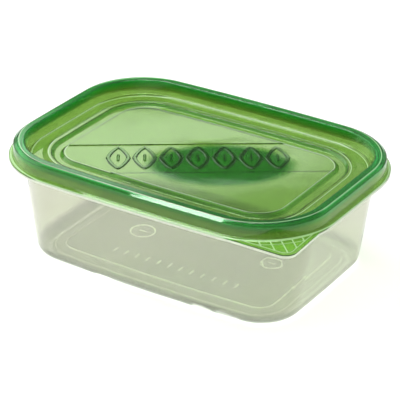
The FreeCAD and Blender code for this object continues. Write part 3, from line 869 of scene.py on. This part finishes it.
def add_surroundings(context):
    """A dim wall with a bright panel behind the object, a window on the left and a dark
    side on the right. The panel has a gap, which the middle of the lid mirrors."""
    settings = context.scene.food_tub_studio
    side_light, gap_light = 0.1, 0.05  # what the dark side and the gap leave of the light
    world = bpy.data.worlds.new("studio")
    context.scene.world = world
    world.use_nodes = True
    tree = world.node_tree
    direction = add_node(tree, "ShaderNodeTexCoord").outputs["Generated"]
    # azimuth, elevation, half width and half height, all in degrees
    panel = studio_patch(tree, direction, 33.5, 25.8, 5.2, 1.2, soft=0.8)
    gap = studio_patch(tree, direction, 31.2, 26.1, 2.2, 0.62, soft=0.25)
    wall = studio_patch(tree, direction, 31.9, 27.0, 40, 14, soft=0.3)
    window = studio_patch(tree, direction, 105, 25, 40, 25, soft=0.4)
    side = studio_patch(tree, direction, -85, 15, 50, 40, soft=0.5)
    open_room = add_node(
        tree, "ShaderNodeMapRange", {0: window, 3: settings.surround, 4: settings.window},
    )
    room = add_node(tree, "ShaderNodeMapRange", {0: wall, 3: open_room, 4: settings.back_wall})
    shade = add_node(tree, "ShaderNodeMapRange", {0: side, 3: 1.0, 4: side_light})
    dim = add_node(tree, "ShaderNodeMath", {0: room, 1: shade}, operation="MULTIPLY")
    lit = add_node(tree, "ShaderNodeMapRange", {0: panel, 3: dim, 4: settings.back_panel})
    level = add_node(tree, "ShaderNodeMapRange", {0: gap, 3: 1.0, 4: gap_light})
    strength = add_node(tree, "ShaderNodeMath", {0: lit, 1: level}, operation="MULTIPLY")
    background = tree.nodes["Background"]
    background.inputs["Color"].default_value = linear("#FFFFFF")
    tree.links.new(strength.outputs[0], background.inputs["Strength"])


def add_lamp(context, name, shape, place, size, power):
    """A soft lamp that faces straight down."""
    light = bpy.data.lights.new(name, "AREA")
    light.shape = shape
    light.size, light.size_y = size
    light.energy = power
    ob = bpy.data.objects.new(name, light)
    ob.location = place
    context.scene.collection.objects.link(ob)


def add_camera(context):
    """A long lens, looking down at the near right corner."""
    camera = bpy.data.cameras.new("camera")
    camera.sensor_width = CAMERA_SENSOR
    camera.lens = CAMERA_LENS
    ob = bpy.data.objects.new("camera", camera)
    context.scene.collection.objects.link(ob)
    back = Vector(
        (
            math.sin(CAMERA_AZIMUTH) * math.cos(CAMERA_ELEVATION),
            -math.cos(CAMERA_AZIMUTH) * math.cos(CAMERA_ELEVATION),
            math.sin(CAMERA_ELEVATION),
        )
    )
    level_right = Vector((math.cos(CAMERA_AZIMUTH), math.sin(CAMERA_AZIMUTH), 0))
    level_up = back.cross(level_right)
    right = level_right * math.cos(CAMERA_ROLL) + level_up * math.sin(CAMERA_ROLL)
    up = level_up * math.cos(CAMERA_ROLL) - level_right * math.sin(CAMERA_ROLL)
    target = Vector((0, 0, TARGET_HEIGHT))
    target += level_right * TARGET_SHIFT[0] + level_up * TARGET_SHIFT[1]
    matrix = Matrix((right, up, back)).transposed().to_4x4()
    matrix.translation = target + back * CAMERA_DISTANCE
    ob.matrix_world = matrix
    context.scene.camera = ob


class SCENE_OT_stage(bpy.types.Operator):
    """Sets up the table, the light and the camera"""

    bl_idname = "food_tub.stage"
    bl_label = "Studio"

    def execute(self, context):
        settings = context.scene.food_tub_studio
        add_table(context)
        add_surroundings(context)
        add_lamp(
            context, "key", "RECTANGLE", place=(-0.30, 0.05, 1.10), size=(0.80, 0.60),
            power=settings.key_power,
        )
        add_lamp(
            context, "strip", "ELLIPSE", place=(-0.36, -0.344, 0.95), size=(0.36, 0.013),
            power=settings.strip_power,
        )
        add_camera(context)
        context.scene.view_settings.view_transform = "Standard"
        return {"FINISHED"}


# --- add-on ---------------------------------------------------------------------------


class SCENE_PT_food_tub(bpy.types.Panel):
    """Lists the steps that finish the food tub, and their settings"""

    bl_idname = "SCENE_PT_food_tub"
    bl_label = "Food Tub"
    bl_space_type = "VIEW_3D"
    bl_region_type = "UI"
    bl_category = "Food Tub"

    def draw(self, context):
        layout = self.layout
        for operator in OPERATORS:
            layout.operator(operator.bl_idname)
        for name, group in SETTINGS.items():
            box = layout.box()
            box.label(text=group.__doc__)
            for setting in group.__annotations__:
                box.prop(getattr(context.scene, name), setting)


OPERATORS = (
    SCENE_OT_tub,
    SCENE_OT_lid,
    SCENE_OT_row,
    SCENE_OT_tab_lines,
    SCENE_OT_base_marks,
    SCENE_OT_stage,
)
SETTINGS = {
    "food_tub_clear": TubLook,
    "food_tub_green": LidLook,
    "food_tub_row": RowSettings,
    "food_tub_studio": StudioSettings,
}
CLASSES = (*SETTINGS.values(), *OPERATORS, SCENE_PT_food_tub)


def register():
    for c in CLASSES:
        bpy.utils.register_class(c)
    for name, group in SETTINGS.items():
        setattr(bpy.types.Scene, name, PointerProperty(type=group))


def unregister():
    for name in SETTINGS:
        delattr(bpy.types.Scene, name)
    for c in reversed(CLASSES):
        bpy.utils.unregister_class(c)


def main():
    register()
    bpy.ops.food_tub.tub()
    bpy.ops.food_tub.lid()
    bpy.ops.food_tub.row()
    bpy.ops.food_tub.tab_lines()
    bpy.ops.food_tub.base_marks()
    bpy.ops.food_tub.stage()


if __name__ == "__main__":
    main()
